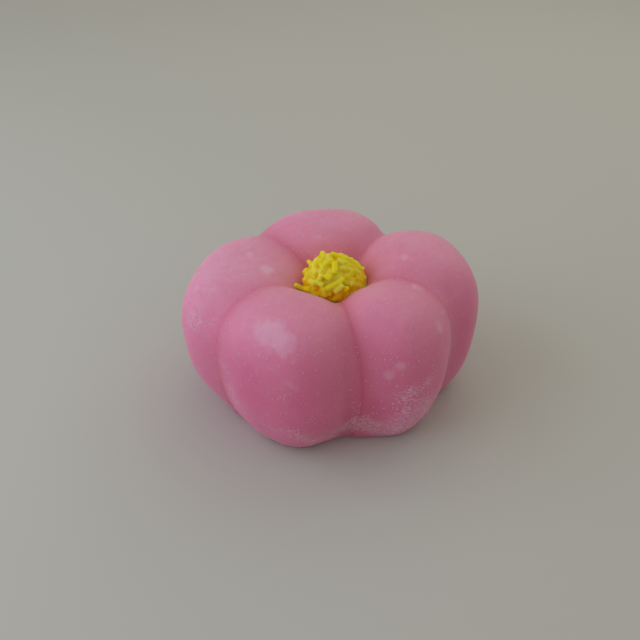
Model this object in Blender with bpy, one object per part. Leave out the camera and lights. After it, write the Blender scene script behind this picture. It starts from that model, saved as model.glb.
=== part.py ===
# A plum-blossom sweet: a ball of soft pink dough pressed into five petals,
# with a tuft of sieved yellow paste in the hollow where the petals meet.
# Metres, +Z up. The origin is under the tuft, on the flat base that the sweet
# rests on, and the back petal points along +Y.

import math
import random
from collections import namedtuple

import bmesh
import bpy
import numpy as np
from mathutils import Matrix, Vector

MM = 0.001

# Each petal is a plump cushion: the way it points (degrees from +X), how far its
# middle lies from the axis, and its half sizes outwards, across and upwards.
Petal = namedtuple("Petal", "turn out reach across rise")
PETALS = (
    Petal(18.3, 14.7 * MM, 9.9 * MM, 11.5 * MM, 14.3 * MM),  # right
    Petal(96.5, 13.5 * MM, 9.9 * MM, 11.7 * MM, 14.4 * MM),  # back
    Petal(169.2, 14.5 * MM, 10.7 * MM, 13.4 * MM, 12.7 * MM),  # left
    Petal(238.2, 12.9 * MM, 9.2 * MM, 10.2 * MM, 13.1 * MM),  # front left
    Petal(317.7, 12.5 * MM, 8.8 * MM, 7.6 * MM, 13.0 * MM),  # front right
)
PETAL_MIDDLE = 12.2 * MM  # height of every petal's widest level
PETAL_SHORT_OF_AXIS = 3.5 * MM  # how near a petal's inner end comes to the axis
FULLNESS = 2.5  # 2 is an ellipsoid, more is boxier
TAPER = 0.13  # how much wider a petal is at its top than at its middle
TAPER_LIMIT = 1.2  # how far from its middle the taper goes on, in half rises
NARROWING = 0.62  # share of its width that a petal loses towards its inner end
NARROWING_CURVE = 1.5  # 1 narrows evenly, more leaves the outer part full
CREASE_BLEND = 1.7 * MM  # softness of the creases

# How much deeper a stick has pressed the crease before each petal. The press fades
# out towards the tuft.
CREASE_PRESSES = (0.4 * MM, 0.4 * MM, 0.3 * MM, 0.1 * MM, 0.7 * MM)
PRESS_WIDTH = 2.2 * MM
PRESS_START = 6.0 * MM
PRESS_RUN = 10.0 * MM

# The unpressed middle of the ball, which joins the petals and fills the base
MIDDLE_HALF_WIDTH = 18.6 * MM
MIDDLE_HALF_DEPTH = 15.4 * MM
MIDDLE_RISE = 15.6 * MM
MIDDLE_BACK = 2.3 * MM
MIDDLE_LEVEL = 3.5 * MM

# Dough left full where the front petals run together: the way each lies (degrees
# from +X), how far out its middle is, its height, and its half sizes outwards, across
# and upwards
Fill = namedtuple("Fill", "turn out level reach across rise")
FILLS = (
    Fill(283.0, 10.4 * MM, 10.3 * MM, 6.9 * MM, 6.2 * MM, 10.6 * MM),  # between the front petals
    Fill(203.5, 10.6 * MM, 6.2 * MM, 8.1 * MM, 4.1 * MM, 8.5 * MM),  # between left and front left
    Fill(300.0, 6.0 * MM, 15.4 * MM, 4.1 * MM, 2.5 * MM, 4.8 * MM),  # inner end of front right
)

# The tuft and the seat pressed for it
TUFT_MIDDLE = 22.4 * MM
TUFT_CORE = 4.1 * MM
SEAT_GAP = 0.5 * MM
SEAT_BLEND = 0.4 * MM

# Sieved strands
STRAND_COUNT = 92
STRAND_RADIUS = 0.45 * MM
STRAND_TIP = 0.85  # radius at its outer end, as a share of the radius at its root
STRAND_LENGTHS = (1.3 * MM, 2.4 * MM)
STRAND_LEANS = (12.0, 42.0)  # degrees up from the core's surface
STRAND_ROOT = 0.4 * MM  # how deep a strand starts inside the core
STRAND_BEND = 0.25 * MM
STRAND_SIDES = 6
STRAND_LOWEST = 125.0  # degrees down from the top of the core
STRAND_CLEARANCE = 0.3 * MM
STRAND_TRIES = 30
STRAND_SEED = 5

# Mesh fineness of the dough
COLUMNS_PER_PETAL = 16
ROWS = 52
COLUMN_CROWDING = 0.5  # 0 spaces the columns evenly, towards 1 crowds them into the creases
ROW_CROWDING = 1.35  # 1 spaces the rows evenly, more crowds them to the top
DOUGH_HEART = 6.0 * MM  # the point from which the surface is swept
DOUGH_LIMIT = 40.0 * MM  # no part of the surface is as far from the heart as this
HALVINGS = 40  # of that distance, to find the surface
BASE_MERGE = 0.02 * MM  # points this near the base plane are taken onto it
SHARP_ANGLE = 40.0  # degrees between faces, for a hard edge


def petal_depth(points, petal):
    """Signed distance, roughly, from one petal's surface: negative inside it."""
    turn = math.radians(petal.turn)
    outward = np.array((math.cos(turn), math.sin(turn), 0.0))
    sideways = np.array((-math.sin(turn), math.cos(turn), 0.0))
    up = (points[:, 2] - PETAL_MIDDLE) / petal.rise
    width = 1.0 + TAPER * np.clip(up, -TAPER_LIMIT, TAPER_LIMIT)
    out = points @ outward - petal.out
    inner_reach = petal.out - PETAL_SHORT_OF_AXIS
    half_out = np.where(out < 0.0, inner_reach, petal.reach * width)
    narrowed = 1.0 - NARROWING * np.clip(-out / inner_reach, 0.0, 1.0) ** NARROWING_CURVE
    across = points @ sideways / (petal.across * width * narrowed)
    powers = abs(out / half_out) ** FULLNESS + abs(across) ** FULLNESS + abs(up) ** FULLNESS
    mean_size = (petal.reach + petal.across + petal.rise) / 3.0
    return (powers ** (1.0 / FULLNESS) - 1.0) * mean_size


def middle_depth(points):
    """Signed distance, roughly, from the unpressed middle of the ball."""
    level = np.hypot(points[:, 0] / MIDDLE_HALF_WIDTH, (points[:, 1] - MIDDLE_BACK) / MIDDLE_HALF_DEPTH)
    up = abs(points[:, 2] - MIDDLE_LEVEL) / MIDDLE_RISE
    return ((level**FULLNESS + up**FULLNESS) ** (1.0 / FULLNESS) - 1.0) * MIDDLE_RISE


def fill_depth(points, fill):
    """Signed distance, roughly, from the dough left full under one crease."""
    turn = math.radians(fill.turn)
    outward = np.array((math.cos(turn), math.sin(turn), 0.0))
    sideways = np.array((-math.sin(turn), math.cos(turn), 0.0))
    out = (points @ outward - fill.out) / fill.reach
    across = points @ sideways / fill.across
    up = (points[:, 2] - fill.level) / fill.rise
    mean_size = (fill.reach + fill.across + fill.rise) / 3.0
    return (np.sqrt(out**2 + across**2 + up**2) - 1.0) * mean_size


def smooth_lowest(depths, blend):
    """The lowest of several distances, rounded over where they are close."""
    lowest = np.min(depths, axis=0)
    total = np.sum(np.exp((lowest - np.array(depths)) / blend), axis=0)
    return lowest - blend * np.log(total)


def crease_turns():
    """Directions of the creases, in degrees, one before each petal."""
    turns = [petal.turn for petal in PETALS]
    before = [turns[-1] - 360.0] + turns[:-1]
    return [(a + b) / 2.0 for a, b in zip(before, turns)]


def press_depth(points):
    """How much the stick has taken off at the creases."""
    taken = np.zeros(len(points))
    for turn, press in zip(crease_turns(), CREASE_PRESSES):
        along_x, along_y = math.cos(math.radians(turn)), math.sin(math.radians(turn))
        out = points[:, 0] * along_x + points[:, 1] * along_y
        aside = points[:, 1] * along_x - points[:, 0] * along_y
        strength = np.clip((out - PRESS_START) / PRESS_RUN, 0.0, 1.0)
        strength = strength * strength * (3.0 - 2.0 * strength)
        taken += press * strength * np.exp(-((aside / PRESS_WIDTH) ** 2))
    return taken


def dough_depth(points):
    """Signed distance from the petalled dough: negative inside it."""
    lobes = [petal_depth(points, petal) for petal in PETALS]
    lobes += [fill_depth(points, fill) for fill in FILLS]
    lobes.append(middle_depth(points))
    pressed = smooth_lowest(lobes, CREASE_BLEND) + press_depth(points)
    from_tuft = np.linalg.norm(points - np.array((0.0, 0.0, TUFT_MIDDLE)), axis=1)
    outside_seat = TUFT_CORE + SEAT_GAP - from_tuft
    return -smooth_lowest([-pressed, -outside_seat], SEAT_BLEND)


def crowded_turn(turn):
    """Moves an evenly spaced column direction (radians) so that columns gather at the creases."""
    creases = crease_turns()
    creases.append(creases[0] + 360.0)
    share = turn / math.tau % 1.0 * len(PETALS)
    index = int(share + 1e-6) % len(PETALS)
    part = share - index if share - index < 1.0 else share - len(PETALS)
    part -= COLUMN_CROWDING * math.sin(math.tau * part) / math.tau
    start, end = creases[index], creases[index + 1]
    return math.radians(start + (end - start) * part)


def sweep_directions(bm):
    """Unit directions from the heart, one for each vertex of a UV sphere, crowded where it bends most."""
    directions = []
    for vertex in bm.verts:
        turn = crowded_turn(math.atan2(vertex.co.y, vertex.co.x))
        drop = math.acos(max(-1.0, min(1.0, vertex.co.z)))
        drop = math.pi * (drop / math.pi) ** ROW_CROWDING
        level = math.sin(drop)
        directions.append((level * math.cos(turn), level * math.sin(turn), math.cos(drop)))
    return np.array(directions)


def surface_points(directions):
    """Where rays from the heart leave the dough, by halving the interval."""
    heart = np.array((0.0, 0.0, DOUGH_HEART))
    near = np.zeros(len(directions))
    far = np.full(len(directions), DOUGH_LIMIT)
    for _ in range(HALVINGS):
        middle = (near + far) / 2.0
        inside = dough_depth(heart + directions * middle[:, None]) < 0.0
        near = np.where(inside, middle, near)
        far = np.where(inside, far, middle)
    return heart + directions * near[:, None]


def make_material(name, color, roughness):
    material = bpy.data.materials.new(name)
    material.use_nodes = True
    shader = material.node_tree.nodes["Principled BSDF"]
    shader.inputs["Base Color"].default_value = (*color, 1.0)
    shader.inputs["Roughness"].default_value = roughness
    shader.inputs["Metallic"].default_value = 0.0
    material.diffuse_color = (*color, 1.0)
    return material


def object_from_bmesh(name, bm, collection, material=None):
    mesh = bpy.data.meshes.new(name)
    bm.to_mesh(mesh)
    bm.free()
    made = bpy.data.objects.new(name, mesh)
    collection.objects.link(made)
    if material:
        mesh.materials.append(material)
    return made


def make_dough(collection, material):
    """The petalled body: a sphere swept out to the petals and cut flat where it rests."""
    bm = bmesh.new()
    bmesh.ops.create_uvsphere(
        bm, u_segments=COLUMNS_PER_PETAL * len(PETALS), v_segments=ROWS, radius=1.0
    )
    for vertex, point in zip(bm.verts, surface_points(sweep_directions(bm))):
        vertex.co = point
    everything = bm.verts[:] + bm.edges[:] + bm.faces[:]
    cut = bmesh.ops.bisect_plane(
        bm,
        geom=everything,
        dist=BASE_MERGE,
        plane_co=(0.0, 0.0, 0.0),
        plane_no=(0.0, 0.0, -1.0),
        clear_outer=True,
    )
    rim = [edge for edge in cut["geom_cut"] if isinstance(edge, bmesh.types.BMEdge)]
    bmesh.ops.contextual_create(bm, geom=rim)
    bmesh.ops.recalc_face_normals(bm, faces=bm.faces)
    dough = object_from_bmesh("dough", bm, collection, material)
    dough.data.shade_smooth()
    dough.data.set_sharp_from_angle(angle=math.radians(SHARP_ANGLE))
    return dough


def make_strand(name, start, axis, length, bend_way, collection):
    """One short sieved strand: a six-sided rod with a slight bend at its middle."""
    bm = bmesh.new()
    bmesh.ops.create_cone(
        bm,
        cap_ends=True,
        segments=STRAND_SIDES,
        radius1=STRAND_RADIUS,
        radius2=STRAND_RADIUS * STRAND_TIP,
        depth=length,
    )
    sides = [edge for edge in bm.edges if abs(edge.verts[0].co.z - edge.verts[1].co.z) > length / 2.0]
    bmesh.ops.subdivide_edges(bm, edges=sides, cuts=1)
    middle = [vertex for vertex in bm.verts if abs(vertex.co.z) < length / 10.0]
    bmesh.ops.translate(bm, verts=middle, vec=(STRAND_BEND * bend_way, 0.0, 0.0))
    centre = start + axis * (length / 2.0)
    placed = Matrix.Translation(centre) @ axis.to_track_quat("Z", "Y").to_matrix().to_4x4()
    bmesh.ops.transform(bm, matrix=placed, verts=bm.verts)
    return object_from_bmesh(name, bm, collection)


def strand_is_clear(start, axis, length):
    """True if the strand stays off the petals along its whole length."""
    steps = np.linspace(0.0, length, 9)
    points = np.array(start) + steps[:, None] * np.array(axis)
    return dough_depth(points).min() > STRAND_RADIUS + STRAND_CLEARANCE


def add_strands(collection):
    """Strands all round the upper core, spread evenly by the golden angle."""
    draw = random.Random(STRAND_SEED)
    golden = math.pi * (3.0 - math.sqrt(5.0))
    lowest = math.cos(math.radians(STRAND_LOWEST))
    middle = Vector((0.0, 0.0, TUFT_MIDDLE))
    for index in range(STRAND_COUNT):
        height = 1.0 - (1.0 - lowest) * (index + 0.5) / STRAND_COUNT
        level = math.sqrt(1.0 - height * height)
        turn = index * golden + draw.uniform(-0.25, 0.25)
        outward = Vector((level * math.cos(turn), level * math.sin(turn), height))
        for _ in range(STRAND_TRIES):
            along = outward.orthogonal().normalized()
            along.rotate(Matrix.Rotation(draw.uniform(0.0, math.tau), 3, outward))
            lean = math.radians(draw.uniform(*STRAND_LEANS))
            axis = (along * math.cos(lean) + outward * math.sin(lean)).normalized()
            length = draw.uniform(*STRAND_LENGTHS)
            bend_way = draw.choice((-1.0, 1.0))
            if strand_is_clear(middle + outward * TUFT_CORE, axis, length):
                start = middle + outward * (TUFT_CORE - STRAND_ROOT)
                make_strand(f"strand_{index:02d}", start, axis, length, bend_way, collection)
                break


def make_tuft(collection, material):
    """The sieved paste: a ball with its strands joined on as one body."""
    bm = bmesh.new()
    bmesh.ops.create_icosphere(
        bm, subdivisions=3, radius=TUFT_CORE, matrix=Matrix.Translation((0.0, 0.0, TUFT_MIDDLE))
    )
    tuft = object_from_bmesh("tuft", bm, collection, material)
    strands = bpy.data.collections.new("strands")
    bpy.context.scene.collection.children.link(strands)
    add_strands(strands)

    union = tuft.modifiers.new("join_strands", "BOOLEAN")
    union.operation = "UNION"
    union.operand_type = "COLLECTION"
    union.collection = strands
    union.solver = "EXACT"
    bpy.context.view_layer.update()
    joined = bpy.data.meshes.new_from_object(tuft.evaluated_get(bpy.context.evaluated_depsgraph_get()))
    tuft.modifiers.clear()
    tuft.data = joined
    tuft.data.name = "tuft"
    for strand in list(strands.objects):
        bpy.data.objects.remove(strand)
    bpy.data.collections.remove(strands)
    return tuft


def main():
    for old in list(bpy.data.objects):
        bpy.data.objects.remove(old)
    sweet = bpy.data.collections.new("plum_blossom_sweet")
    bpy.context.scene.collection.children.link(sweet)
    make_dough(sweet, make_material("pink_dough", (0.55, 0.16, 0.29), 0.55))
    make_tuft(sweet, make_material("yellow_paste", (0.62, 0.42, 0.02), 0.6))


main()
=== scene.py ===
import math
import random

import bmesh
import bpy
import numpy as np
from mathutils import Matrix, Vector, noise
from mathutils.kdtree import KDTree


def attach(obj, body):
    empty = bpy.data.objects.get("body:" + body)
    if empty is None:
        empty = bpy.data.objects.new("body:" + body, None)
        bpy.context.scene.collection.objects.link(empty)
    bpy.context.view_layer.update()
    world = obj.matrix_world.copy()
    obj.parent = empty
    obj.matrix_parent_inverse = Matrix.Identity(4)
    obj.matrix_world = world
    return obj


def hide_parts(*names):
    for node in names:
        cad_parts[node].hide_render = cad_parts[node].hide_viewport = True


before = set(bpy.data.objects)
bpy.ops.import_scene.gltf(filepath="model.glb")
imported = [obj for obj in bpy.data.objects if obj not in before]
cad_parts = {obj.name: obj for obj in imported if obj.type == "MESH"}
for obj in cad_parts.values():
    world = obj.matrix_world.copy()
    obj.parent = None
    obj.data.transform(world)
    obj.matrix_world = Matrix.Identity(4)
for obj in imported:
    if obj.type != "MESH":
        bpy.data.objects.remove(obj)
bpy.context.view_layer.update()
mm = 0.001
print("frame loaded")


# Colours, nodes and meshes

def linearColor(hexCode):  # sRGB hex to the linear values that a shader takes
    channels = [int(hexCode[i:i + 2], 16) / 255 for i in (1, 3, 5)]
    return [c / 12.92 if c <= 0.04045 else ((c + 0.055) / 1.055) ** 2.4 for c in channels] + [1.0]


def perMetre(size):  # pattern scale that gives features of this size in mm
    return 1.0 / (size * mm)


def addNode(tree, kind, settings, sockets):  # a node with its settings, and a link or a value for each socket
    node = tree.nodes.new(kind)
    for name, value in settings.items():
        setattr(node, name, value)
    for name, value in sockets.items():
        if isinstance(value, bpy.types.NodeSocket):
            tree.links.new(value, node.inputs[name])
        else:
            node.inputs[name].default_value = value
    return node


def newMaterial(name, sockets):
    material = bpy.data.materials.new(name)
    material.use_nodes = True
    shader = material.node_tree.nodes["Principled BSDF"]
    for socket, value in sockets.items():
        shader.inputs[socket].default_value = value
    return material, material.node_tree, shader


def attributeValue(tree, name):
    return addNode(tree, "ShaderNodeAttribute", {"attribute_name": name}, {}).outputs["Fac"]


def calculated(tree, operation, *values):
    return addNode(tree, "ShaderNodeMath", {"operation": operation}, dict(enumerate(values))).outputs[0]


def noiseValue(tree, place, size, detail, roughness=0.5):  # noise with features of this size in mm
    return addNode(tree, "ShaderNodeTexNoise", {}, {
        "Vector": place, "Scale": perMetre(size), "Detail": detail, "Roughness": roughness}).outputs["Fac"]


def remapped(tree, value, old, new, kind="LINEAR"):  # from its old range to a new one, clamped there
    return addNode(tree, "ShaderNodeMapRange", {"interpolation_type": kind}, {
        "Value": value, "From Min": old[0], "From Max": old[1],
        "To Min": new[0], "To Max": new[1]}).outputs["Result"]


def mixedColor(tree, share, first, second):  # each colour is a hex code or the output of a node
    first, second = (linearColor(color) if isinstance(color, str) else color for color in (first, second))
    return addNode(tree, "ShaderNodeMix", {"data_type": "RGBA"}, {0: share, 6: first, 7: second}).outputs[2]


def addBump(tree, shader, height, strength, distance):  # distance in mm
    bump = addNode(tree, "ShaderNodeBump", {}, {
        "Height": height, "Strength": strength, "Distance": distance * mm}).outputs["Normal"]
    tree.links.new(bump, shader.inputs["Normal"])


def meshFromBmesh(name, bm):
    mesh = bpy.data.meshes.new(name)
    bm.to_mesh(mesh)
    bm.free()
    return mesh


def setAttribute(mesh, name, values):  # one number for each vertex
    mesh.attributes.new(name, "FLOAT", "POINT").data.foreach_set("value", values.astype(np.float32))


def shapeArrays(create, **settings):  # the points and faces of a bmesh shape of radius 1
    bm = bmesh.new()
    create(bm, radius=1.0, **settings)
    points = np.array([vertex.co[:] for vertex in bm.verts])
    faces = [[vertex.index for vertex in face.verts] for face in bm.faces]
    bm.free()
    return points, faces


def joinedMesh(name, shapes):  # many loose shapes in one mesh, each given as its points and faces
    points, faces = [], []
    for places, shapeFaces in shapes:
        faces += [[corner + len(points) for corner in face] for face in shapeFaces]
        points += places.tolist()
    mesh = bpy.data.meshes.new(name)
    mesh.from_pydata(points, [], faces)
    return mesh


def objectFromMesh(name, mesh, material):
    mesh.materials.append(material)
    mesh.shade_smooth()
    piece = bpy.data.objects.new(name, mesh)
    bpy.context.scene.collection.objects.link(piece)
    return piece


# Camera, at the photograph's height and distance

view = {
    "place": (-2.3, -129.6, 106.9),
    "pitch": 35.5,  # degrees down
    "focalPixels": 935.0,
    "widthPixels": 640,
    "sensorWidth": 36.0,
    "nearest": 5.0,  # nothing closer than this is drawn
}


def makeCamera():
    data = bpy.data.cameras.new("camera")
    data.sensor_width = view["sensorWidth"]
    data.lens = view["focalPixels"] / view["widthPixels"] * view["sensorWidth"]
    data.clip_start = view["nearest"] * mm
    camera = bpy.data.objects.new("camera", data)
    bpy.context.scene.collection.objects.link(camera)
    camera.location = Vector(view["place"]) * mm
    camera.rotation_euler = (math.radians(90.0 - view["pitch"]), 0.0, 0.0)
    bpy.context.scene.camera = camera


# Dough: the same petals, middle and seat as in the solid, on a finer mesh

dough = {
    # Each petal: degrees from +X, how far out its middle is, then its half sizes outwards, across and up
    "petals": (
        (18.3, 14.7, 9.9, 11.5, 14.3),  # right
        (96.5, 13.5, 9.9, 11.7, 14.4),  # back
        (169.2, 14.5, 10.7, 13.4, 12.7),  # left
        (238.2, 12.9, 9.2, 10.2, 13.1),  # front left
        (317.7, 12.5, 8.8, 7.6, 13.0),  # front right
    ),
    "petalMiddle": 12.2,  # height of every petal's middle
    "petalShortOfAxis": 3.5,  # where a petal's inner end stops
    "fullness": 2.5,  # 2 is an ellipsoid, more is boxier
    "taper": 0.13,  # how much a petal widens upwards
    "taperLimit": 1.2,  # in half heights from its middle
    "narrowing": 0.62,  # how much it narrows inwards
    "narrowingCurve": 1.5,
    "creaseBlend": 1.7,  # how softly neighbours run together
    "presses": (0.4, 0.4, 0.3, 0.1, 0.7),  # extra depth of the crease before each petal
    "pressWidth": 2.2,
    "pressStart": 6.0,
    "pressRun": 10.0,
    "ball": (18.6, 15.4, 15.6),  # half width, half depth and rise of the unpressed middle
    "ballBack": 2.3,
    "ballLevel": 3.5,
    # Dough left full where the front petals run together: degrees from +X, how far out its middle is,
    # its height, then its half sizes outwards, across and up
    "fills": (
        (283.0, 10.4, 10.3, 6.9, 6.2, 10.6),  # between the front petals
        (203.5, 10.6, 6.2, 8.1, 4.1, 8.5),  # between left and front left
        (300.0, 6.0, 15.4, 4.1, 2.5, 4.8),  # inner end of front right
    ),
    "tuftMiddle": 22.4,
    "seatRadius": 4.6,  # of the hollow that the tuft sits in
    "seatBlend": 0.4,
    "baseBlend": 0.22,  # how softly the side turns under at the base
    "heart": 6.0,  # height of the point that the surface is swept from
    "farthest": 40.0,  # the surface is never this far from the heart
    "halvings": 22,  # of the search along each ray
    "columnsPerPetal": 56,
    "rows": 200,
    "columnCrowding": 0.5,  # gathers the columns at the creases
    "rowCrowding": 1.35,  # gathers the rows on the top
    "waves": ((9.0, 0.16), (3.4, 0.045)),  # length and height of the hand's unevenness
    "waveFoot": 2.0,  # the unevenness fades out below this height
    "creaseFade": 1.7,  # how far from a crease its painted shade fades
    "fillTint": 0.6,  # how much of that painted shade the fills have
    "fillFade": 0.7,
    "creaseAtBase": 1.3,  # strength of a crease's painted shade at the base
    "creaseFall": 25.0,  # height over which that falls by 1
    "tuftBounceFade": 2.8,  # how far from the tuft the painted light bounced from it fades
}


def turnDirections(turn):  # outwards and sideways at this many degrees from +X
    outX, outY = math.cos(math.radians(turn)), math.sin(math.radians(turn))
    return np.array((outX, outY, 0.0)), np.array((-outY, outX, 0.0))


def petalDepth(points, turn, out, reach, across, rise):  # distance from a petal's surface, negative inside
    outward, sideways = turnDirections(turn)
    up = (points[:, 2] - dough["petalMiddle"]) / rise
    width = 1.0 + dough["taper"] * np.clip(up, -dough["taperLimit"], dough["taperLimit"])
    along = points @ outward - out
    innerReach = out - dough["petalShortOfAxis"]
    inwards = np.clip(-along / innerReach, 0.0, 1.0)
    narrowed = 1.0 - dough["narrowing"] * inwards ** dough["narrowingCurve"]
    along = along / np.where(along < 0.0, innerReach, reach * width)
    aside = points @ sideways / (across * width * narrowed)
    fullness = dough["fullness"]
    powers = abs(along) ** fullness + abs(aside) ** fullness + abs(up) ** fullness
    return (powers ** (1.0 / fullness) - 1.0) * (reach + across + rise) / 3.0


def ballDepth(points):
    halfWidth, halfDepth, rise = dough["ball"]
    fullness = dough["fullness"]
    level = np.hypot(points[:, 0] / halfWidth, (points[:, 1] - dough["ballBack"]) / halfDepth)
    up = abs(points[:, 2] - dough["ballLevel"]) / rise
    return ((level ** fullness + up ** fullness) ** (1.0 / fullness) - 1.0) * rise


def fillDepth(points, turn, out, height, reach, across, rise):
    outward, sideways = turnDirections(turn)
    along, aside = (points @ outward - out) / reach, points @ sideways / across
    up = (points[:, 2] - height) / rise
    return (np.sqrt(along ** 2 + aside ** 2 + up ** 2) - 1.0) * (reach + across + rise) / 3.0


def smoothLowest(depths, blend):  # the lowest, rounded over where two are close
    lowest = np.min(depths, axis=0)
    return lowest - blend * np.log(np.sum(np.exp((lowest - np.array(depths)) / blend), axis=0))


def creaseTurns():
    turns = [petal[0] for petal in dough["petals"]]
    before = [turns[-1] - 360.0] + turns[:-1]
    return [(a + b) / 2.0 for a, b in zip(before, turns)]


def pressDepth(points):  # what the stick has pressed in along the creases
    pressed = np.zeros(len(points))
    for turn, press in zip(creaseTurns(), dough["presses"]):
        outward, sideways = turnDirections(turn)
        strength = np.clip((points @ outward - dough["pressStart"]) / dough["pressRun"], 0.0, 1.0)
        strength = strength * strength * (3.0 - 2.0 * strength)
        pressed += press * strength * np.exp(-((points @ sideways / dough["pressWidth"]) ** 2))
    return pressed


def petalDepths(points):
    return [petalDepth(points, *petal) for petal in dough["petals"]]


def fillDepths(points):
    return [fillDepth(points, *fill) for fill in dough["fills"]]


def tuftDistance(points):
    return np.linalg.norm(points - np.array((0.0, 0.0, dough["tuftMiddle"])), axis=1)


def doughDepth(points):  # the whole body: lobes, pressed creases, the tuft's seat and the flat base
    lobes = petalDepths(points) + fillDepths(points) + [ballDepth(points)]
    pressed = smoothLowest(lobes, dough["creaseBlend"]) + pressDepth(points)
    seated = smoothLowest([-pressed, tuftDistance(points) - dough["seatRadius"]], dough["seatBlend"])
    return -smoothLowest([seated, points[:, 2]], dough["baseBlend"])


def crowdedTurn(turn):  # gathers the columns at the creases, in radians
    creases = creaseTurns()
    creases.append(creases[0] + 360.0)
    share = turn / math.tau % 1.0 * len(dough["petals"])
    index = int(share + 1e-6) % len(dough["petals"])
    part = share - index if share - index < 1.0 else share - len(dough["petals"])
    part -= dough["columnCrowding"] * math.sin(math.tau * part) / math.tau
    return math.radians(creases[index] + (creases[index + 1] - creases[index]) * part)


def sweepDirections(bm):
    directions = []
    for vertex in bm.verts:
        turn = crowdedTurn(math.atan2(vertex.co.y, vertex.co.x))
        drop = math.acos(max(-1.0, min(1.0, vertex.co.z)))
        drop = math.pi * (drop / math.pi) ** dough["rowCrowding"]
        level = math.sin(drop)
        directions.append((level * math.cos(turn), level * math.sin(turn), math.cos(drop)))
    return np.array(directions)


def surfacePoints(directions):  # where rays from the heart leave the dough
    heart = np.array((0.0, 0.0, dough["heart"]))
    near, far = np.zeros(len(directions)), np.full(len(directions), dough["farthest"])
    for _ in range(dough["halvings"]):
        middle = (near + far) / 2.0
        inside = doughDepth(heart + directions * middle[:, None]) < 0.0
        near, far = np.where(inside, middle, near), np.where(inside, far, middle)
    return heart + directions * near[:, None]


def handWaves(points):  # a hand's slight unevenness, fading out at the base
    total = np.zeros(len(points))
    for length, height in dough["waves"]:
        total += height * np.array([noise.noise(Vector(point) / length) for point in points])
    return total * np.clip(points[:, 2] / dough["waveFoot"], 0.0, 1.0)


# Starch on the skin: x, y, z of each patch, its radius and how strong it is

starch = {
    "filmAndHighlight": (  # thin pale film of starch, partly where fingers smoothed it in and partly painted highlight
        (-10.7, -15.7, 23.6, 2.2, 0.75),
        (-8.9, -17.0, 23.5, 2.4, 0.7),
        (-6.8, -18.7, 22.7, 2.2, 0.45),
        (-11.0, -0.2, 24.6, 1.3, 0.9),
        (11.6, 1.3, 26.2, 1.0, 0.8),
        (8.3, -17.1, 16.2, 1.0, 1.0),
        (10.1, -17.2, 18.1, 0.9, 0.9),
        (16.3, -11.7, 21.5, 1.3, 0.7),
        (-6.8, -20.9, 17.4, 1.5, 0.5),
        (13.3, -5.3, 24.7, 1.2, 0.7),
        (-14.0, 4.1, 24.9, 1.4, 0.5),
        (-2.6, 8.5, 25.6, 1.2, 0.4),
        (-20.9, -3.8, 23.1, 2.5, 0.3),
    ),
    "bloom": (  # even thinner and wider film, added to the painted sheen and settled starch on up-facing skin
        (-18.0, 1.0, 25.0, 7.5, 0.45),
        (-22.0, -7.0, 14.0, 8.0, 0.3),
        (0.0, 15.0, 26.5, 7.0, 0.15),
    ),
    "dust": (  # dense loose powder
        (-23.2, -6.2, 19.7, 2.2, 0.95),
        (-22.1, -7.8, 19.1, 2.0, 0.9),
        (-21.0, -4.1, 22.9, 1.8, 0.6),
        (-17.7, -13.3, 15.2, 1.4, 0.95),
        (-16.5, -14.4, 11.4, 1.4, 0.95),
        (-15.7, -14.8, 8.8, 1.4, 0.8),
        (17.2, -8.2, 22.1, 1.1, 0.95),
        (18.3, -8.5, 19.5, 1.2, 0.95),
        (9.3, -3.3, 24.7, 1.0, 0.8),
        (4.4, -16.6, 6.7, 1.4, 0.9),
        (6.0, -15.7, 4.2, 2.4, 1.0),
        (9.8, -17.2, 11.9, 2.0, 0.5),
        (12.1, -17.0, 13.1, 1.8, 0.8),
        (14.7, -15.6, 13.6, 1.6, 0.95),
        (11.2, -16.7, 8.7, 3.0, 0.6),
        (13.7, -15.6, 8.9, 3.0, 0.7),
        (9.2, -15.2, 3.1, 3.0, 0.9),
        (11.6, -15.5, 4.5, 3.0, 0.9),
        (14.0, -14.6, 5.9, 2.6, 0.8),
        (16.4, -12.9, 8.7, 2.6, 0.5),
        (-13.5, -16.6, 7.7, 1.8, 0.5),
        (-10.6, -18.2, 6.3, 2.2, 0.5),
        (-7.8, -19.8, 7.3, 2.2, 0.6),
        (-5.5, -19.8, 5.8, 2.0, 0.8),
        (-3.1, -18.4, 3.7, 2.0, 0.9),
        (0.6, -16.3, 3.9, 2.2, 0.9),
        (3.4, -16.1, 5.0, 2.0, 0.9),
    ),
    "upFacingTilt": 0.1,  # the painted sheen and settled starch also reach skin that leans out a little
    "creaseShelter": 0.8,  # how much less of that sheen and starch a crease has
    "grainCount": 4400,
    "grainRadii": (0.045, 0.16),
    "grainCurve": 2.5,  # more makes more of them small
    "grainWidths": (0.6, 1.0),  # shares of its radius
    "grainHeight": 0.55,  # share of its radius
    "strewn": 0.35,  # how thick the grains lie everywhere
    "dusted": 1.6,  # what the dustiest places add to that
    "lowest": 1.0,  # no grain lies below this
    "innermost": 5.2,  # nor this near the tuft's axis
    "seed": 11,
}


def patchStrength(points, patches):
    total = np.zeros(len(points))
    for x, y, z, radius, strength in patches:
        apart = np.sum((points - np.array((x, y, z))) ** 2, axis=1)
        total += strength * np.exp(-apart / radius ** 2)
    return np.clip(total, 0.0, 1.0)


def creaseStrength(points):  # 1 where two petals meet, less on the fills, 0 out on the petals
    nearest = np.sort(np.array(petalDepths(points)), axis=0)
    creased = np.exp(-(nearest[1] - nearest[0]) / dough["creaseFade"])
    overFill = np.min(fillDepths(points), axis=0) - nearest[0]
    return np.maximum(creased, dough["fillTint"] / (1.0 + np.exp(overFill / dough["fillFade"])))


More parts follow.
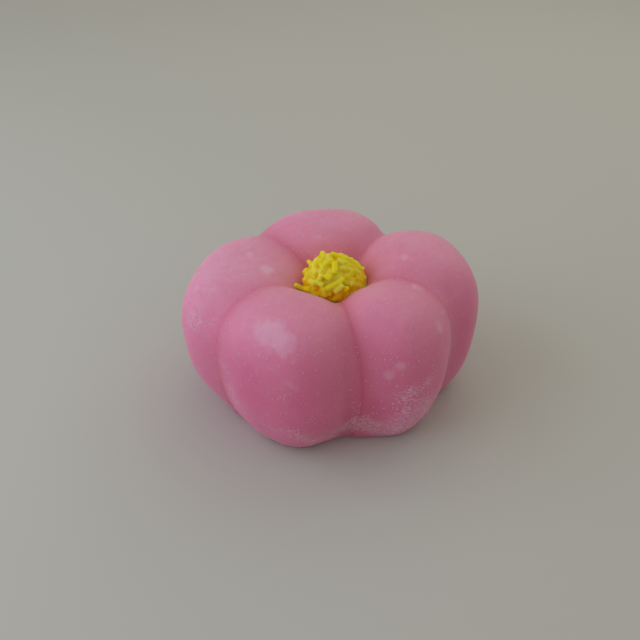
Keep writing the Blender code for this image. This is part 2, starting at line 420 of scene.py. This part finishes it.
def makeDoughMaterial():
    # Steamed rice dough, kneaded with sugar and smoothed by hand: satin and translucent, with painted shade
    # in the creases, painted light from the tuft beside it, and a film of starch that also carries painted
    # highlights and sheen
    material, tree, shader = newMaterial("steamed_rice_dough", {
        "IOR": 1.45,
        "Subsurface Weight": 0.85,
        "Subsurface Radius": (1.0, 0.42, 0.55),
        "Subsurface Scale": 2.2 * mm,
        "Sheen Weight": 0.12,
        "Sheen Roughness": 0.5,
    })
    place = addNode(tree, "ShaderNodeTexCoord", {}, {}).outputs["Object"]
    mottle = noiseValue(tree, place, 7.0, detail=3.0, roughness=0.55)
    body = mixedColor(tree, remapped(tree, mottle, (0.35, 0.65), (0.0, 1.0)), "#d96c97", "#dc779e")
    # Painted shade: deeper pink in the creases and over the front fills
    body = mixedColor(tree, attributeValue(tree, "crease"), body, "#c44e70")
    # Painted light: orange light bounced from the tuft onto the skin beside it
    warm = calculated(tree, "MULTIPLY", attributeValue(tree, "tuftBounceLight"), 0.9)
    body = mixedColor(tree, warm, body, "#e0604c")

    # Pale film: starch patches with ragged edges that also serve as painted highlights, and faint blots of
    # about 1 mm on up-facing skin, painted sheen as well as settled starch
    ragged = noiseValue(tree, place, 1.3, detail=4.0, roughness=0.65)
    filmHighlightAndSheen = calculated(tree, "MULTIPLY_ADD", ragged, 0.9, attributeValue(tree, "filmAndHighlight"))
    filmHighlightAndSheen = remapped(tree, filmHighlightAndSheen, (0.6, 1.25), (0.0, 0.2), "SMOOTHSTEP")
    blots = calculated(tree, "MULTIPLY_ADD", ragged, 0.5, 0.25)
    blots = calculated(tree, "MULTIPLY", attributeValue(tree, "sheenAndStarch"), blots)
    filmHighlightAndSheen = calculated(tree, "MULTIPLY_ADD", blots, 0.4, filmHighlightAndSheen)

    # Soft dots of about 0.5 mm, where grains have taken up moisture
    spots = addNode(tree, "ShaderNodeTexVoronoi", {}, {
        "Vector": place, "Scale": perMetre(1.5)}).outputs["Distance"]
    spots = remapped(tree, spots, (0.05, 0.19), (0.16, 0.0), "SMOOTHSTEP")
    filmHighlightAndSheen = calculated(tree, "ADD", filmHighlightAndSheen, spots)

    # Loose powder: specks of about 0.25 mm, thick in the dusty patches, and half of it wiped in streaks
    specks = noiseValue(tree, place, 0.25, detail=2.0, roughness=0.6)
    wiped = addNode(tree, "ShaderNodeMapping", {}, {
        "Vector": place, "Rotation": (0.0, math.radians(-38.0), 0.0), "Scale": (0.45, 1.0, 1.0),
    }).outputs["Vector"]
    streaks = noiseValue(tree, wiped, 0.3, detail=2.0, roughness=0.65)
    powder = addNode(tree, "ShaderNodeMix", {"data_type": "FLOAT"}, {
        0: 0.5, 2: specks, 3: streaks}).outputs[0]
    powder = calculated(tree, "MULTIPLY_ADD", attributeValue(tree, "dust"), 0.2, powder)
    powder = remapped(tree, powder, (0.63, 0.82), (0.0, 0.5), "SMOOTHSTEP")

    # Starch, and the painted highlights and sheen in the film, whiten and roughen the skin, and stand a
    # little proud of it
    white = calculated(tree, "MAXIMUM", filmHighlightAndSheen, powder)
    tree.links.new(mixedColor(tree, white, body, "#e8dcf4"), shader.inputs["Base Color"])
    tree.links.new(remapped(tree, white, (0.0, 0.6), (0.48, 0.85)), shader.inputs["Roughness"])
    pores = noiseValue(tree, place, 0.5, detail=4.0, roughness=0.6)
    height = calculated(tree, "MULTIPLY_ADD", white, 0.8, pores)
    addBump(tree, shader, height, strength=0.35, distance=0.06)
    return material


def makeDough():
    bm = bmesh.new()
    bmesh.ops.create_uvsphere(
        bm, u_segments=dough["columnsPerPetal"] * len(dough["petals"]), v_segments=dough["rows"], radius=1.0)
    directions = sweepDirections(bm)
    points = surfacePoints(directions)
    points += directions * handWaves(points)[:, None]
    for vertex, point in zip(bm.verts, points):
        vertex.co = point * mm
    bmesh.ops.recalc_face_normals(bm, faces=bm.faces)
    piece = objectFromMesh("petalled_dough", meshFromBmesh("petalled_dough", bm), makeDoughMaterial())

    # What the shader reads at each point of the skin
    mesh = piece.data
    crease = creaseStrength(points)
    fromSeat = tuftDistance(points) - dough["seatRadius"]
    facingUp = np.array([vertex.normal.z for vertex in mesh.vertices])
    # Up-facing skin gets painted sheen as well as settled starch, with less of both in a crease
    sheenAndStarch = np.clip(facingUp + starch["upFacingTilt"], 0.0, 1.0) * (1.0 - starch["creaseShelter"] * crease)
    # Painted shade in the creases, stronger toward the base
    low = np.clip(dough["creaseAtBase"] - points[:, 2] / dough["creaseFall"], 0.0, 1.0)
    setAttribute(mesh, "crease", crease * low)
    # Painted light bounced from the tuft, fading away from its seat
    setAttribute(mesh, "tuftBounceLight", np.exp(-fromSeat / dough["tuftBounceFade"]))
    # Pale starch film that also stands in as painted highlights
    setAttribute(mesh, "filmAndHighlight", patchStrength(points, starch["filmAndHighlight"]))
    setAttribute(mesh, "dust", patchStrength(points, starch["dust"]))
    setAttribute(mesh, "sheenAndStarch", sheenAndStarch + patchStrength(points, starch["bloom"]))
    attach(piece, "root")
    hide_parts("dough")
    return piece


def makeStarchMaterial():
    # Potato starch in loose grains: matt and nearly white, tinted by the dough that shows through
    material, tree, shader = newMaterial("potato_starch", {
        "Roughness": 0.8,
        "IOR": 1.5,
        "Subsurface Weight": 0.4,
        "Subsurface Radius": (1.0, 0.7, 0.75),
        "Subsurface Scale": 0.3 * mm,
    })
    place = addNode(tree, "ShaderNodeTexCoord", {}, {}).outputs["Object"]
    tint = noiseValue(tree, place, 1.0, detail=2.0)
    tree.links.new(mixedColor(tree, tint, "#dc93b0", "#edc8d8"), shader.inputs["Base Color"])
    return material


def makeStarchGrains(skin):  # flattened grains of 20 faces, thickest where the dust is
    shape, faces = shapeArrays(bmesh.ops.create_icosphere, subdivisions=1)
    mesh = skin.data
    mesh.calc_loop_triangles()
    corners = np.array([triangle.vertices[:] for triangle in mesh.loop_triangles])
    places = np.array([vertex.co[:] for vertex in mesh.vertices]) / mm
    dust = patchStrength(places, starch["dust"])
    a, b, c = places[corners[:, 0]], places[corners[:, 1]], places[corners[:, 2]]
    normals = np.cross(b - a, c - a)
    areas = np.linalg.norm(normals, axis=1) / 2.0
    normals /= np.maximum(areas[:, None] * 2.0, 1e-9)
    middles = (a + b + c) / 3.0
    fromAxis = np.hypot(middles[:, 0], middles[:, 1])
    shown = (middles[:, 2] > starch["lowest"]) & (fromAxis > starch["innermost"])
    weights = areas * shown * (starch["strewn"] + starch["dusted"] * dust[corners].mean(axis=1))

    draw = np.random.default_rng(starch["seed"])
    small, large = starch["grainRadii"]
    grains = []
    for index in draw.choice(len(weights), size=starch["grainCount"], p=weights / weights.sum()):
        share = draw.dirichlet((1.0, 1.0, 1.0))
        centre = a[index] * share[0] + b[index] * share[1] + c[index] * share[2]
        side = np.cross(normals[index], draw.normal(size=3))
        side /= np.linalg.norm(side)
        turned = np.array((side, np.cross(normals[index], side), normals[index]))
        radius = small + (large - small) * draw.random() ** starch["grainCurve"]
        sizes = radius * np.array((1.0, draw.uniform(*starch["grainWidths"]), starch["grainHeight"]))
        grains.append(((centre + (shape * sizes) @ turned) * mm, faces))
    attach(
        objectFromMesh("starch_grains", joinedMesh("starch_grains", grains), makeStarchMaterial()), "root")


# Tuft: a bumpy heart of paste with sieved strands heaped on it

tuft = {
    "middle": dough["tuftMiddle"],
    "core": 4.5,  # radius of the heart
    "flattened": 0.86,  # height of the heap above its middle, as a share of its half width
    "bumps": ((1.5, 0.2), (0.6, 0.12)),  # length and height of the core's lumps
    "underCount": 170,  # strands of the lower layer, and how far from the middle they lie
    "underOut": (4.2, 4.5),
    "topCount": 115,
    "topOut": (4.5, 4.8),
    "turnSpread": 0.3,  # radians that a strand may be off its even place
    "lowest": 122.0,  # degrees down from the top
    "lengths": (0.8, 1.5),
    "widths": (0.85, 1.15),
    "rise": (-14.0, 30.0),  # degrees that a strand's outer end lifts
    "sides": 10,
    "rings": 8,
    "squareness": 0.27,  # 1 is a ball's round end, less is a blunter cut
    "overrun": 0.25,  # share of its width that a strand runs on past its ends
    "bend": 0.14,  # most, as a share of a strand's half length
    "tapers": (-0.1, 0.16),
    "lumpShare": 0.06,  # height of a strand's own lumps, as a share of its size
    "lumpsPerMm": 1.6,
    "noiseSpan": 90.0,  # lumps are picked from anywhere in this much of the noise
    "clearance": -0.4,  # how far a strand stays off the dough: below 0 it may press in
    "clearSteps": 7,  # points along a strand where that is tested
    "tries": 24,
    "apart": 1.05,  # least distance from a top strand's middle to a placed one's
    "seed": 8,
    "voxel": 0.12,
    "softening": 1,
    "gapLevels": (5.25, 4.75),  # distance from the middle where a gap's painted shade begins, and where it is deepest
    "gapOnTop": 0.35,  # how much of its painted amber shade a gap has on top of the heap
    "amberFrom": 2.2,  # height above the middle where the painted amber shade starts
    "amberRun": 2.5,  # how far below that it is full
    "amberShare": 0.25,  # how much of the painted amber shade the strands outside the gaps take on
    # Strands that show in the photograph. Each end: mm right and mm up as the camera sees the heap,
    # and how far it lies from the heap's middle. Then the strand's width.
    "placed": (
        ((-1.8, 3.1, 4.1), (-1.9, 4.5, 4.9), 1.05),
        ((-0.3, 4.3, 4.6), (1.9, 3.5, 4.5), 0.92),
        ((2.7, 3.4, 4.6), (4.0, 2.1, 4.7), 1.03),
        ((3.8, 1.6, 4.4), (4.8, 2.0, 5.3), 0.69),
        ((4.0, 0.6, 4.2), (5.1, 0.4, 5.2), 0.8),
        ((4.2, -0.6, 4.5), (5.2, -0.9, 5.3), 0.69),
        ((-3.6, 2.4, 4.5), (-4.2, 3.2, 5.3), 0.8),
        ((-5.0, -1.4, 5.3), (-6.3, -0.8, 6.5), 1.05),
        ((-4.6, -1.4, 5.1), (-3.9, -1.4, 5.1), 1.05),
        ((-1.1, -1.4, 5.2), (1.4, 0.1, 5.2), 0.98),
        ((0.2, -2.0, 5.3), (1.3, -1.0, 5.4), 0.98),
        ((1.8, -1.7, 5.3), (2.1, -1.3, 5.5), 0.75),
        ((-1.7, -1.5, 5.2), (-1.5, -2.6, 5.2), 0.98),
        ((-0.6, -1.8, 4.9), (-0.8, -2.4, 5.0), 0.86),
        ((-2.5, -0.1, 5.1), (-2.2, 0.7, 5.4), 0.8),
        ((-3.9, -0.2, 5.1), (-3.2, -0.6, 5.2), 0.98),
        ((-2.9, -0.3, 5.2), (-1.9, -0.8, 5.2), 0.98),
        ((-1.3, 0.6, 5.2), (-0.7, 0.3, 5.3), 1.03),
        ((0.0, 2.6, 4.7), (0.1, 1.2, 4.9), 1.05),
        ((-1.3, 2.6, 4.5), (-0.3, 3.2, 4.5), 1.03),
        ((0.7, 3.2, 4.5), (1.5, 2.8, 4.5), 1.03),
        ((-4.4, 1.4, 4.7), (-4.6, 0.0, 4.8), 0.92),
        ((-3.3, 1.9, 4.5), (-3.0, 1.1, 4.7), 1.03),
        ((2.7, 1.5, 4.6), (4.0, 1.2, 4.7), 0.98),
        ((2.6, -0.7, 4.8), (4.0, -0.8, 4.8), 1.03),
        ((-0.7, -3.0, 4.6), (1.0, -2.9, 4.6), 1.03),
        ((2.0, -2.9, 4.9), (3.0, -2.3, 4.9), 1.03),
        ((3.3, -2.1, 4.9), (4.2, -1.5, 5.0), 1.03),
        ((-2.6, -2.4, 4.8), (-3.6, -2.0, 4.9), 1.03),
        ((-0.6, -3.8, 4.7), (0.5, -3.8, 4.7), 1.05),
        ((0.9, -3.6, 4.7), (1.9, -3.3, 4.7), 1.05),
        ((-1.2, -3.5, 4.7), (-2.1, -3.0, 4.7), 1.05),
        ((-3.4, -2.3, 4.8), (-4.3, -1.9, 5.0), 1.0),
        ((3.9, -1.0, 4.8), (4.8, -1.3, 5.0), 0.92),
    ),
}


def heapPoint(right, up, out):  # the point of the heap that the camera sees there
    pitch = math.radians(view["pitch"])
    towards = math.sqrt(max(0.0, out * out - right * right - up * up))
    return Vector((
        right,
        up * math.sin(pitch) - towards * math.cos(pitch),
        tuft["middle"] + up * math.cos(pitch) + towards * math.sin(pitch)))


def flattened(offset):  # an offset from the heap's middle, lowered where it is above it
    return Vector((offset[0], offset[1], offset[2] * (tuft["flattened"] if offset[2] > 0.0 else 1.0)))


def clearOfDough(start, end, width):
    steps = np.linspace(0.0, 1.0, tuft["clearSteps"])[:, None]
    points = np.array(start)[None, :] * (1.0 - steps) + np.array(end)[None, :] * steps
    return doughDepth(points).min() > width / 2.0 + tuft["clearance"]


def strandPoints(shape, start, end, width, draw):  # a ball drawn out to a blunt rod, bent and lumpy
    half = (end - start).length / 2.0 + width * tuft["overrun"]
    turned = (end - start).to_track_quat("Z", "Y").to_matrix()
    centre = (start + end) / 2.0
    bendX, bendY = (draw.uniform(-tuft["bend"], tuft["bend"]) for _ in range(2))
    bend = Vector((bendX, bendY, 0.0)) * half
    wobble = Vector([draw.uniform(0.0, tuft["noiseSpan"]) for _ in range(3)])
    taper = draw.uniform(*tuft["tapers"])
    points = []
    for x, y, z in shape:
        level = math.hypot(x, y)
        blunt = level ** tuft["squareness"] / level if level > 1e-6 else 0.0
        height = math.copysign(abs(z) ** tuft["squareness"], z)
        radius = width / 2.0 * (1.0 - taper * height)
        place = Vector((x * blunt * radius, y * blunt * radius, height * half))
        place += bend * (1.0 - height * height)
        place *= 1.0 + tuft["lumpShare"] * noise.noise(place * tuft["lumpsPerMm"] + wobble)
        points.append(centre + turned @ place)
    return np.array(points)


def strandLayer(draw, count, outs, keepOff):  # the ends and widths of strands laid all round
    golden = math.pi * (3.0 - math.sqrt(5.0))
    lowest = math.cos(math.radians(tuft["lowest"]))
    middle = Vector((0.0, 0.0, tuft["middle"]))
    strands = []
    for index in range(count):
        height = 1.0 - (1.0 - lowest) * (index + 0.5) / count
        turn = index * golden + draw.uniform(-tuft["turnSpread"], tuft["turnSpread"])
        level = math.sqrt(1.0 - height * height)
        outward = Vector((level * math.cos(turn), level * math.sin(turn), height))
        for _ in range(tuft["tries"]):
            along = outward.orthogonal().normalized()
            along.rotate(Matrix.Rotation(draw.uniform(0.0, math.tau), 3, outward))
            rise = math.radians(draw.uniform(*tuft["rise"]))
            reach = draw.uniform(*tuft["lengths"]) / 2.0
            width = draw.uniform(*tuft["widths"])
            centre = middle + flattened(outward * draw.uniform(*outs))
            start = centre - along * reach
            end = centre + (along * math.cos(rise) + outward * math.sin(rise)) * reach
            if any((centre - other).length < tuft["apart"] for other in keepOff):
                break
            if clearOfDough(start, end, width):
                strands.append((start, end, width))
                break
    return strands


def makeTuftMaterial():
    # Yellow bean paste pressed through a sieve: moist, close-grained strands with a satin skin,
    # lemon where they catch the light, with painted amber shade down in the gaps and low on the heap
    material, tree, shader = newMaterial("sieved_bean_paste", {
        "Roughness": 0.6,
        "IOR": 1.45,
        "Specular IOR Level": 0.1,
        "Subsurface Weight": 1.0,
        "Subsurface Radius": (1.0, 0.7, 0.04),
        "Subsurface Scale": 2.1 * mm,
    })
    place = addNode(tree, "ShaderNodeTexCoord", {}, {}).outputs["Object"]
    grain = noiseValue(tree, place, 0.35, detail=4.0, roughness=0.65)
    paste = mixedColor(tree, attributeValue(tree, "tone"), "#d8cc10", "#d8da50")
    # Painted shade: amber in the gaps and toward the bottom of the heap
    paste = mixedColor(tree, attributeValue(tree, "depth"), paste, "#ffc400")
    paste = mixedColor(tree, remapped(tree, grain, (0.45, 0.75), (0.0, 0.12)), paste, "#f2e648")
    tree.links.new(paste, shader.inputs["Base Color"])
    addBump(tree, shader, grain, strength=0.5, distance=0.08)
    return material


def corePoints():  # the bumpy heart, with its faces
    shape, faces = shapeArrays(bmesh.ops.create_icosphere, subdivisions=4)
    points = []
    for place in shape:
        lump = sum(
            height * noise.noise(Vector(place) * tuft["core"] / length) for length, height in tuft["bumps"])
        points.append(flattened(place * (tuft["core"] + lump)) + Vector((0.0, 0.0, tuft["middle"])))
    return np.array(points), faces


def fuse(piece):  # melts the strands into one body of paste where they touch
    remesh = piece.modifiers.new("fuse", "REMESH")
    remesh.mode = "VOXEL"
    remesh.voxel_size = tuft["voxel"]
    soften = piece.modifiers.new("soften", "SMOOTH")
    soften.iterations = tuft["softening"]
    evaluated = piece.evaluated_get(bpy.context.evaluated_depsgraph_get())
    fused = bpy.data.meshes.new_from_object(evaluated)
    piece.modifiers.clear()
    piece.data = fused


def makeTuft():
    draw = random.Random(tuft["seed"])
    placed = [(heapPoint(*first), heapPoint(*second), width) for first, second, width in tuft["placed"]]
    centres = [(start + end) / 2.0 for start, end, _ in placed]
    strands = strandLayer(draw, tuft["underCount"], tuft["underOut"], [])
    strands += strandLayer(draw, tuft["topCount"], tuft["topOut"], centres)
    strands += placed

    shape, faces = shapeArrays(bmesh.ops.create_uvsphere, u_segments=tuft["sides"], v_segments=tuft["rings"])
    shapes = [corePoints()] + [(strandPoints(shape, *strand, draw), faces) for strand in strands]
    piece = objectFromMesh("sieved_tuft", joinedMesh("strands", shapes), makeTuftMaterial())
    fuse(piece)

    # Each strand has its own tone, and painted amber shade deepens the paste in the gaps and low on the heap
    nearest = KDTree(sum(len(points) for points, _ in shapes))
    tones = []
    for points, _ in shapes:
        tone = draw.random()
        for point in points:
            nearest.insert(point, len(tones))
            tones.append(tone)
    nearest.balance()
    mesh = piece.data
    places = np.array([vertex.co[:] for vertex in mesh.vertices])
    setAttribute(mesh, "tone", np.array([tones[nearest.find(place)[1]] for place in places]))
    offsets = places - np.array((0.0, 0.0, tuft["middle"]))
    offsets[:, 2] /= np.where(offsets[:, 2] > 0.0, tuft["flattened"], 1.0)
    outs = np.linalg.norm(offsets, axis=1)
    # Painted amber shade, deepest in the gaps and low on the heap
    shallow, deep = tuft["gapLevels"]
    gap = np.clip((shallow - outs) / (shallow - deep), 0.0, 1.0)
    low = np.clip((tuft["amberFrom"] - offsets[:, 2]) / tuft["amberRun"], 0.0, 1.0)
    gapShade = gap * (tuft["gapOnTop"] + (1.0 - tuft["gapOnTop"]) * low)
    setAttribute(mesh, "depth", np.clip(gapShade + tuft["amberShare"] * low, 0.0, 1.0))
    mesh.transform(Matrix.Scale(mm, 4))
    mesh.shade_smooth()
    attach(piece, "root")
    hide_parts("tuft")
    print("tuft faces:", len(mesh.polygons))


# Stage: a pale table top and soft studio light

stage = {
    "floorHalf": 900.0,  # half its width
    "floorDrop": 0.02,  # keeps it just off the base
    "floorColor": "#bcc0bc",
    "sky": ("#fff7ea", 0.5),
    # Name: place, what it points at, size, watts, colour
    "lights": {
        "window": ((-210.0, -45.0, 105.0), (0.0, 0.0, 12.0), 300.0, 0.33, "#e7ebff"),
        "back": ((100.0, 160.0, 200.0), (0.0, 0.0, 12.0), 250.0, 0.095, "#fff2de"),
    },
}


def makeStage():
    bm = bmesh.new()
    bmesh.ops.create_grid(bm, x_segments=1, y_segments=1, size=stage["floorHalf"] * mm)
    material, _, shader = newMaterial("pale_table", {
        "Base Color": linearColor(stage["floorColor"]), "Roughness": 0.75})
    floor = objectFromMesh("floor", meshFromBmesh("floor", bm), material)
    floor.data.transform(Matrix.Translation((0.0, 0.0, -stage["floorDrop"] * mm)))

    world = bpy.data.worlds.new("studio")
    bpy.context.scene.world = world
    world.use_nodes = True
    sky = world.node_tree.nodes["Background"]
    color, strength = stage["sky"]
    sky.inputs["Color"].default_value = linearColor(color)
    sky.inputs["Strength"].default_value = strength
    for name, (place, aim, size, watts, tint) in stage["lights"].items():
        data = bpy.data.lights.new(name, "AREA")
        data.size = size * mm
        data.energy = watts
        data.color = linearColor(tint)[:3]
        lamp = bpy.data.objects.new(name, data)
        bpy.context.scene.collection.objects.link(lamp)
        lamp.location = Vector(place) * mm
        lamp.rotation_euler = (Vector(aim) - Vector(place)).to_track_quat("-Z", "Y").to_euler()
    bpy.context.scene.view_settings.view_transform = "Standard"


makeCamera()
print("camera set")
skin = makeDough()
print("dough shaped")
makeStarchGrains(skin)
print("starch grains laid")
makeTuft()
print("tuft heaped")
makeStage()
print("stage lit")
